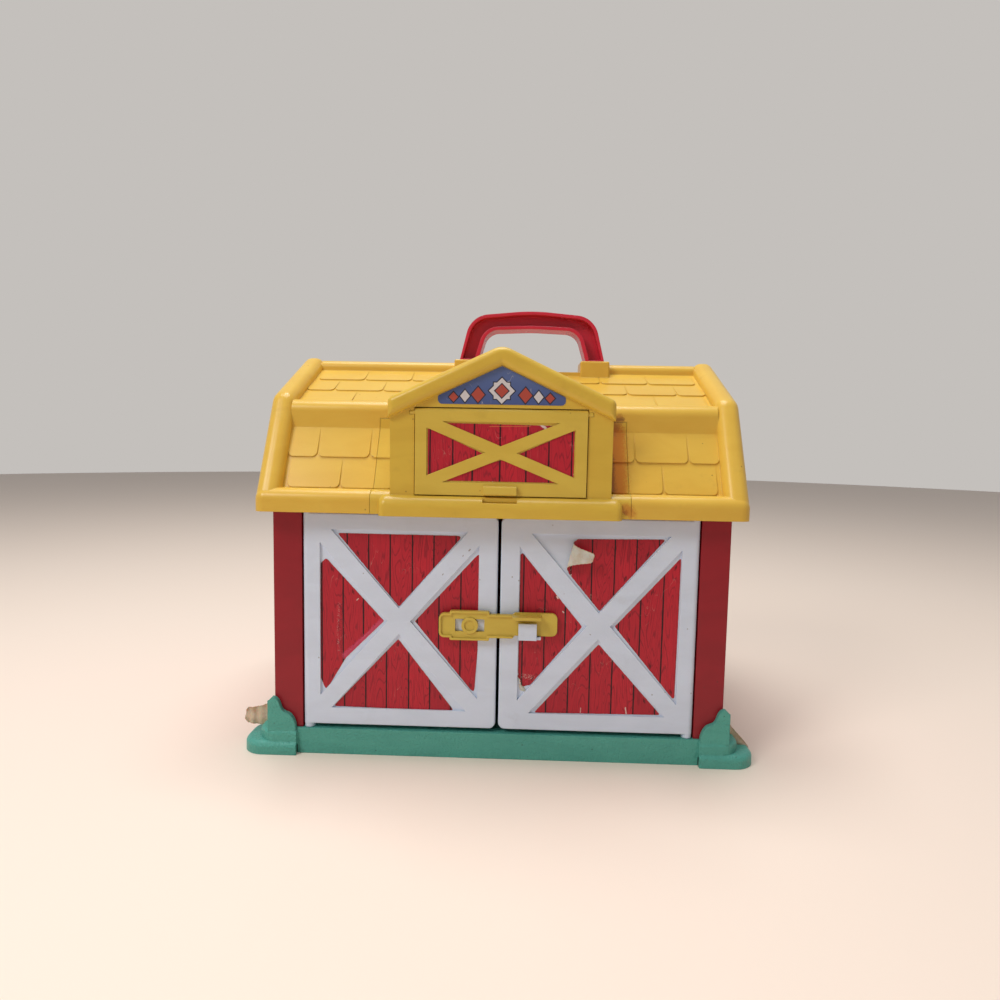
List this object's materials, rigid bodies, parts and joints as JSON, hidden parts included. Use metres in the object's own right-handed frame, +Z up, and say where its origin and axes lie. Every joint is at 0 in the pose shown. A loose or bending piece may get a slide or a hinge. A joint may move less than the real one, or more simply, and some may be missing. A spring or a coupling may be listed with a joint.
{
  "type": "toy barn",
  "caption": "Carry-case toy barn with two latched swing doors, a top-hung loft hatch in a gabled dormer, a gambrel shingle roof and a top handle.",
  "frame": {"origin": "bottom centre of the whole barn, on the surface it stands on", "axes": "+X the viewer's right when facing the doors, +Y from the doors to the back wall, +Z up"},
  "size_m": [0.3832, 0.251, 0.345],
  "materials": {
    "green_plastic": "moulded, satin, scuffed",
    "red_plastic": "moulded, satin",
    "red_gloss_plastic": "moulded, glossy",
    "yellow_plastic": "moulded, glossy, aged",
    "white_plastic": "moulded, satin, specked with dirt",
    "plank_label": "printed paper label, laminated",
    "blue_label": "printed paper label, laminated",
    "screw_steel": "zinc plated"
  },
  "bodies": {
    "barn": {"base": "green_plastic", "side_wall_left": "red_plastic", "side_wall_right": "red_plastic", "back_wall": "red_plastic", "loft_floor": "red_plastic", "roof": "yellow_plastic", "dormer": "yellow_plastic", "sign_label": "blue_label", "handle": "red_gloss_plastic", "side_label_left": "plank_label", "side_label_right": "plank_label", "base_screws": "screw_steel", "loft_screws": "screw_steel", "handle_screws": "screw_steel"},
    "left_door": {"door_left": "white_plastic", "door_label_left": "plank_label"},
    "right_door": {"door_right": "white_plastic", "door_label_right": "plank_label"},
    "latch_bar": {"latch": "yellow_plastic"},
    "loft_hatch": {"hatch": "yellow_plastic", "hatch_label": "plank_label"}
  },
  "joints": [
    {"name": "door_left_swing", "type": "hinge", "parent": "barn", "child": "left_door", "pos_m": [-0.1412, -0.1005, 0.1], "axis": [0, 0, -1], "range_deg": [0, 100]},
    {"name": "door_right_swing", "type": "hinge", "parent": "barn", "child": "right_door", "pos_m": [0.1412, -0.1005, 0.1], "axis": [0, 0, 1], "range_deg": [0, 100]},
    {"name": "latch_lift", "type": "hinge", "parent": "left_door", "child": "latch_bar", "pos_m": [-0.0208, -0.1045, 0.102], "axis": [0, -1, 0], "range_deg": [0, 90]},
    {"name": "hatch_swing", "type": "hinge", "parent": "barn", "child": "loft_hatch", "pos_m": [0, -0.117, 0.256], "axis": [-1, 0, 0], "range_deg": [0, 85]}
  ]
}
